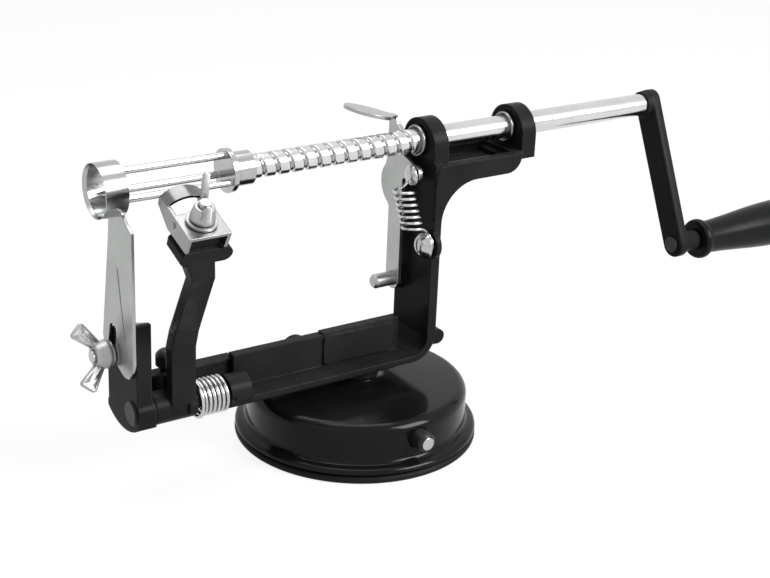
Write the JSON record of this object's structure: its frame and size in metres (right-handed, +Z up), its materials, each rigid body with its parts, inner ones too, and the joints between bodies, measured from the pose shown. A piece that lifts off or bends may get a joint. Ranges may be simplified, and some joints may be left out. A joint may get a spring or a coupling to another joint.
{
  "type": "apple peeler",
  "caption": "Hand-cranked apple peeler, corer and slicer: black cast frame on a round suction base, threaded feed shaft with fork and crank, sprung peeling arm, slicing plate.",
  "frame": {"origin": "centre of the suction face on the table", "axes": "+X along the feed shaft towards the crank, +Y to the rear, +Z up"},
  "size_m": [0.3597, 0.1151, 0.1368],
  "materials": {
    "black_paint": "satin black enamel on a casting",
    "black_rod": "dark plated steel",
    "rubber_pad": "matt black rubber",
    "bright_plate": "bright nickel plate",
    "spring_wire": "bright plated wire",
    "sheet_steel": "bright rolled stainless sheet",
    "grip_plastic": "semi-gloss black moulded plastic"
  },
  "bodies": {
    "stand": {"base_shell": "black_paint", "suction_pad": "rubber_pad", "frame": "black_paint", "arm_rod": "black_rod", "stop_screw": "black_rod", "slicer_bolt": "bright_plate", "slicer_washer": "bright_plate", "feed_pivot": "bright_plate", "spring_screw": "bright_plate", "feed_spring": "spring_wire", "arm_spring": "spring_wire"},
    "bushes": {"bush_left": "bright_plate", "bush_right": "bright_plate"},
    "shaft": {"feed_shaft": "bright_plate", "fork": "bright_plate", "crank_arm": "black_paint", "grip_spindle": "bright_plate"},
    "grip": {"grip": "grip_plastic"},
    "arm": {"peel_arm": "black_paint", "blade_stud": "bright_plate", "blade_washer": "bright_plate"},
    "blade": {"blade_holder": "sheet_steel", "peel_blade": "sheet_steel"},
    "blade_nut": {"blade_wing_nut": "bright_plate"},
    "slicer": {"slicer_plate": "sheet_steel", "coring_ring": "sheet_steel"},
    "slicer_nut": {"slicer_wing_nut": "bright_plate"},
    "feed": {"feed_plate": "sheet_steel", "spring_post": "bright_plate"},
    "lever": {"cam_shaft": "bright_plate", "suction_lever": "black_paint"}
  },
  "joints": [
    {"name": "crank_turn", "type": "hinge", "parent": "stand", "child": "bushes", "pos_m": [0.0259, 0, 0.1215], "axis": [1, 0, 0], "range_deg": [0, 4140]},
    {"name": "shaft_feed", "type": "slide", "parent": "bushes", "child": "shaft", "axis": [1, 0, 0], "range_m": [0, 0.0702]},
    {"name": "grip_spin", "type": "hinge", "parent": "shaft", "child": "grip", "pos_m": [0.1736, -0.02626, 0.06467], "axis": [1, 0, 0], "continuous": true},
    {"name": "arm_swing", "type": "hinge", "parent": "stand", "child": "arm", "pos_m": [-0.0885, -0.0075, 0.0352], "axis": [1, 0, 0], "range_deg": [-8, 70], "stiffness_Nm_per_rad": 0.6, "springref_deg": -1.72, "deforming": ["arm_spring"]},
    {"name": "blade_set", "type": "slide", "parent": "arm", "child": "blade", "axis": [0, 0.9272, 0.3746], "range_m": [-0.0025, 0.0025]},
    {"name": "blade_nut_turn", "type": "hinge", "parent": "arm", "child": "blade_nut", "pos_m": [-0.0949, -0.04405, 0.12081], "axis": [0, -0.3746, 0.9272], "range_deg": [0, 720]},
    {"name": "slicer_set", "type": "slide", "parent": "stand", "child": "slicer", "axis": [0, -0.1961, 0.9806], "range_m": [-0.0017, 0.0017]},
    {"name": "slicer_nut_turn", "type": "hinge", "parent": "stand", "child": "slicer_nut", "pos_m": [-0.108, 0.006, 0.055], "axis": [-1, 0, 0], "range_deg": [0, 720]},
    {"name": "feed_release", "type": "hinge", "parent": "stand", "child": "feed", "pos_m": [0.0229, 0.0088, 0.06], "axis": [-1, 0, 0], "range_deg": [0, 5], "stiffness_Nm_per_rad": 1.5, "springref_deg": -8.59, "deforming": ["feed_spring"]},
    {"name": "lever_turn", "type": "hinge", "parent": "stand", "child": "lever", "pos_m": [0, 0.0455, 0.0156], "axis": [0, -1, 0], "range_deg": [0, 165]}
  ],
  "couplings": [
    {"joint": "shaft_feed", "follows": "crank_turn", "m_per_rad": 0.00097085}
  ]
}
